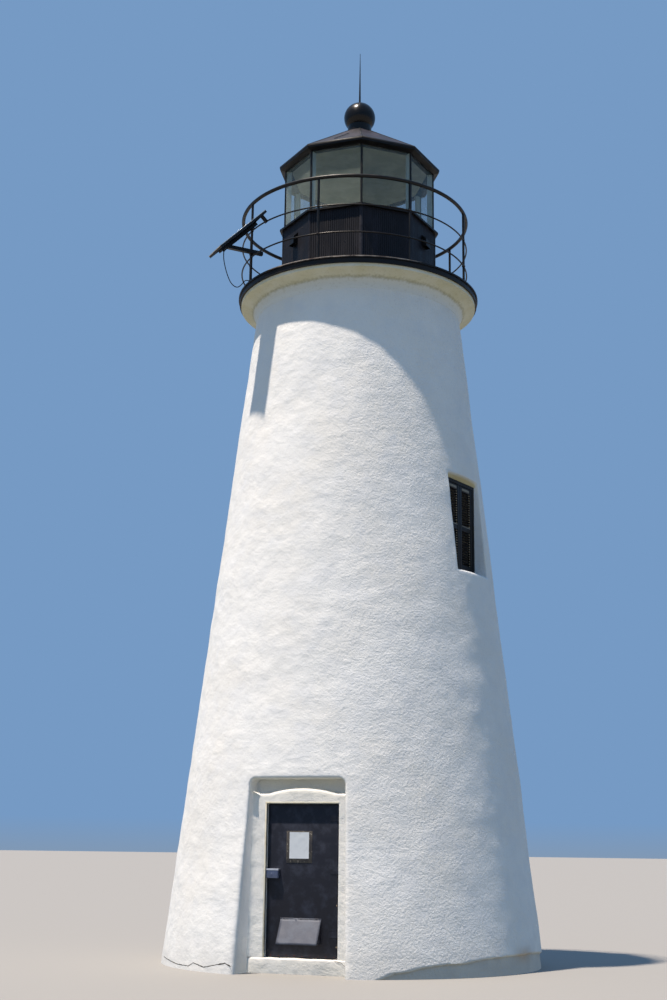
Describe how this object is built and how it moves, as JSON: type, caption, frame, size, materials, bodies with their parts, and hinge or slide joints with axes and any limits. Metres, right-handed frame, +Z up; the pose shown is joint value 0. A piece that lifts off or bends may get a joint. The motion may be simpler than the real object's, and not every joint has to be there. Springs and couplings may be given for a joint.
{
  "type": "lighthouse",
  "caption": "Small round whitewashed masonry lighthouse with a railed gallery, a black nine-sided glazed lantern, a hinged door and a shuttered window.",
  "frame": {"origin": "centre of the tower's round base, at ground level", "axes": "+Z up, the door faces -Y, +X to the right when facing the door"},
  "size_m": [4.62, 4.5375, 12.364],
  "materials": {
    "stucco": "limewashed stucco on brick masonry",
    "floor": "worn masonry",
    "cornice": "cream limewash",
    "black_paint": "black satin paint",
    "rail_iron": "black painted iron",
    "lantern_boards": "black painted boards",
    "lantern_posts": "black outside and white inside",
    "lantern_glass": "clear glass",
    "ceiling_paint": "pale grey-green paint",
    "roof_metal": "black painted sheet metal, worn",
    "shutter_paint": "dark paint",
    "door_paint": "blue-black paint on a sheet-faced board door",
    "lock_steel": "weathered steel",
    "hood_zinc": "weathered grey sheet",
    "notice_paper": "blank sheet on a dark backing",
    "solar_face": "dark cells under glass in a light frame",
    "cable_black": "black sheath"
  },
  "bodies": {
    "tower": {"front_wall_left": "stucco", "front_wall_right": "stucco", "back_wall_left": "stucco", "back_wall_right": "stucco", "wall_over_door": "stucco", "middle_wall_right": "stucco", "middle_wall_left": "stucco", "window_wall_front": "stucco", "window_wall_right": "stucco", "window_wall_back": "stucco", "upper_wall_front": "stucco", "upper_wall_right": "stucco", "upper_wall_left": "stucco", "ground_floor": "floor", "door_sill": "stucco", "door_surround": "stucco", "gallery_cornice": "cornice", "gallery_deck": "black_paint", "top_rail": "rail_iron", "lower_rails": "rail_iron", "rail_posts": "rail_iron", "lantern_wall": "lantern_boards", "lantern_vents": "black_paint", "lantern_sill": "black_paint", "glass_posts": "lantern_posts", "lantern_glass": "lantern_glass", "lantern_cornice": "black_paint", "lantern_ceiling": "ceiling_paint", "lantern_roof": "roof_metal", "roof_collar": "roof_metal", "vent_ball": "roof_metal", "spire": "rail_iron", "window_frame": "shutter_paint", "window_shutters": "shutter_paint", "hinge_pins": "rail_iron", "solar_panel": "solar_face", "panel_bracket": "rail_iron", "rail_clamps": "rail_iron", "cable_glands": "cable_black", "panel_cable": "cable_black"},
    "door": {"door_leaf": "door_paint", "hinge_straps": "door_paint", "lock_box": "lock_steel", "notice_board": "notice_paper", "vent_hood": "hood_zinc"}
  },
  "joints": [
    {"name": "door_hinge", "type": "hinge", "parent": "tower", "child": "door", "pos_m": [0.425, -1.809, 0], "axis": [0, 0, 1], "range_deg": [0, 90]}
  ]
}
